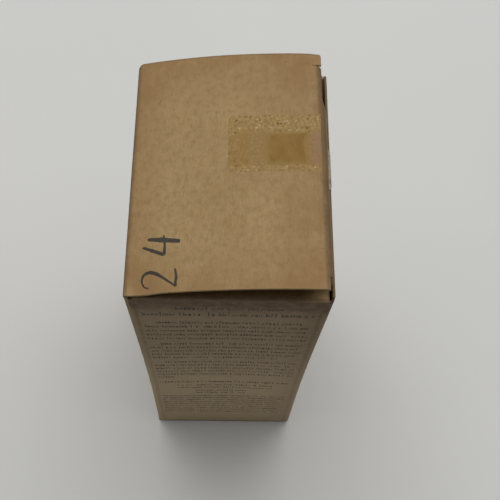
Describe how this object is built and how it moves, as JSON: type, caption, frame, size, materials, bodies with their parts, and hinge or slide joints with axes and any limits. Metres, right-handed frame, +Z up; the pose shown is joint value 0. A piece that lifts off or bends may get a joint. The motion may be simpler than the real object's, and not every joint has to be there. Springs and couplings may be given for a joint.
{
  "type": "tuck-end folding carton",
  "caption": "Upright folding carton in plain kraft board with a hinged tuck lid, dust flaps inside, a matching tuck base and a remnant of sealing tape.",
  "frame": {"origin": "on the ground, in the middle of the sleeve's footprint, which is the bottom panel's outer face", "axes": "+Z up along the carton's height; +X across the narrow width, from the wall that carries both hinges to the wall that both flaps tuck behind; +Y along the depth, from the printed front wall to the back wall"},
  "size_m": [0.0447, 0.059, 0.1269],
  "materials": {
    "board": "matte",
    "dried_glue": "satin",
    "tape_gum": "matte",
    "tape_paper": "matte",
    "tape_torn_paper": "matte"
  },
  "bodies": {
    "sleeve": {"left_wall": "board", "front_wall": "board", "right_wall": "board", "back_wall": "board", "seam_flap": "board", "seam_glue": "dried_glue", "tape_remnant": "tape_torn_paper"},
    "lid": {"lid_panel": "board", "tape_residue": "tape_gum", "tape_ply": "tape_paper"},
    "lid_tuck": {"lid_tuck_flap": "board"},
    "top_front_dust": {"top_front_dust_flap": "board"},
    "top_back_dust": {"top_back_dust_flap": "board"},
    "bottom_panel": {"bottom_panel": "board"},
    "bottom_tuck": {"bottom_tuck_flap": "board"},
    "bottom_front_dust": {"bottom_front_dust_flap": "board"},
    "bottom_back_dust": {"bottom_back_dust_flap": "board"}
  },
  "joints": [
    {"name": "lid_hinge", "type": "hinge", "parent": "sleeve", "child": "lid", "pos_m": [-0.02225, 0, 0.1207], "axis": [0, -1, 0], "range_deg": [-8, 217]},
    {"name": "lid_tuck_hinge", "type": "hinge", "parent": "lid", "child": "lid_tuck", "pos_m": [0.02053, 0, 0.12671], "axis": [0, -1, 0], "range_deg": [-3.05, 82.47]},
    {"name": "top_front_dust_hinge", "type": "hinge", "parent": "sleeve", "child": "top_front_dust", "pos_m": [-0.02225, -0.0295, 0.12], "axis": [1, 0, 0], "range_deg": [-3.85, 104.17]},
    {"name": "top_back_dust_hinge", "type": "hinge", "parent": "sleeve", "child": "top_back_dust", "pos_m": [0.02225, 0.0295, 0.12], "axis": [-1, 0, 0], "range_deg": [-3.85, 104.17]},
    {"name": "bottom_hinge", "type": "hinge", "parent": "sleeve", "child": "bottom_panel", "pos_m": [-0.02225, 0, 0], "axis": [0, 1, 0], "range_deg": [0, 225]},
    {"name": "bottom_tuck_hinge", "type": "hinge", "parent": "bottom_panel", "child": "bottom_tuck", "pos_m": [0.02095, 0, 0], "axis": [0, 1, 0], "range_deg": [0, 85.51]},
    {"name": "bottom_front_dust_hinge", "type": "hinge", "parent": "sleeve", "child": "bottom_front_dust", "pos_m": [-0.02225, -0.0295, 0.0007], "axis": [-1, 0, 0], "range_deg": [0, 108.01]},
    {"name": "bottom_back_dust_hinge", "type": "hinge", "parent": "sleeve", "child": "bottom_back_dust", "pos_m": [0.02225, 0.0295, 0.0007], "axis": [1, 0, 0], "range_deg": [0, 108.01]}
  ],
  "couplings": [
    {"joint": "lid_tuck_hinge", "follows": "lid_hinge", "ratio": 0.38},
    {"joint": "top_front_dust_hinge", "follows": "lid_hinge", "ratio": 0.48},
    {"joint": "top_back_dust_hinge", "follows": "lid_hinge", "ratio": 0.48},
    {"joint": "bottom_tuck_hinge", "follows": "bottom_hinge", "ratio": 0.38},
    {"joint": "bottom_front_dust_hinge", "follows": "bottom_hinge", "ratio": 0.48},
    {"joint": "bottom_back_dust_hinge", "follows": "bottom_hinge", "ratio": 0.48}
  ]
}
